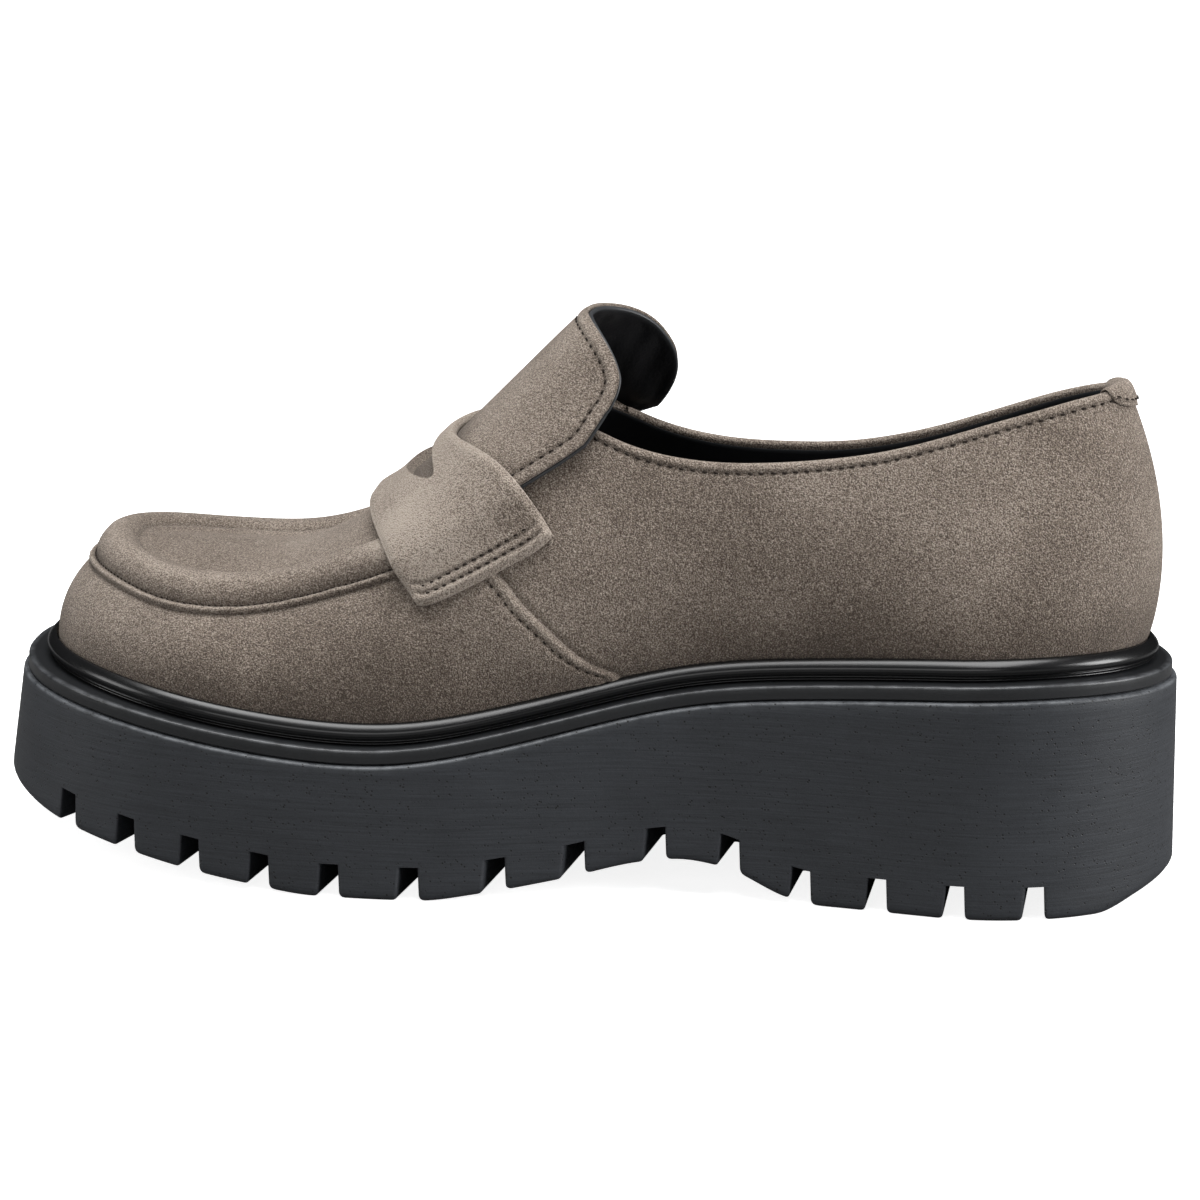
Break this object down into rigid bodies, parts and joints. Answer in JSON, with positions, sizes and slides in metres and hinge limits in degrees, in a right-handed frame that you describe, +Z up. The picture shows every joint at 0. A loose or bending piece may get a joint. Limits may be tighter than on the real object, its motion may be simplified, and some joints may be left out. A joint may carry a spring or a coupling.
{
  "type": "loafer shoe",
  "caption": "Slip-on loafer with a raised apron seam, saddle strap with a slot, standing tongue and a thick curved lug platform sole.",
  "frame": {"origin": "centre of the bounding box's bottom face, on the floor plane that the heel and the forefoot stand on", "axes": "+X from toe to heel, +Y to the lateral (outer) side of this right shoe, +Z up"},
  "size_m": [0.2784, 0.109, 0.1308],
  "materials": {
    "suede": "napped suede, matte",
    "lining": "smooth lining leather, semi-matte",
    "gloss_rubber": "moulded, glossy",
    "sole_rubber": "moulded, matte"
  },
  "bodies": {
    "root": {"upper": "suede", "tongue": "suede", "saddle_strap": "suede", "heel_tab": "suede", "insole": "lining", "welt": "gloss_rubber", "runner": "sole_rubber", "outsole": "sole_rubber"}
  },
  "joints": []
}
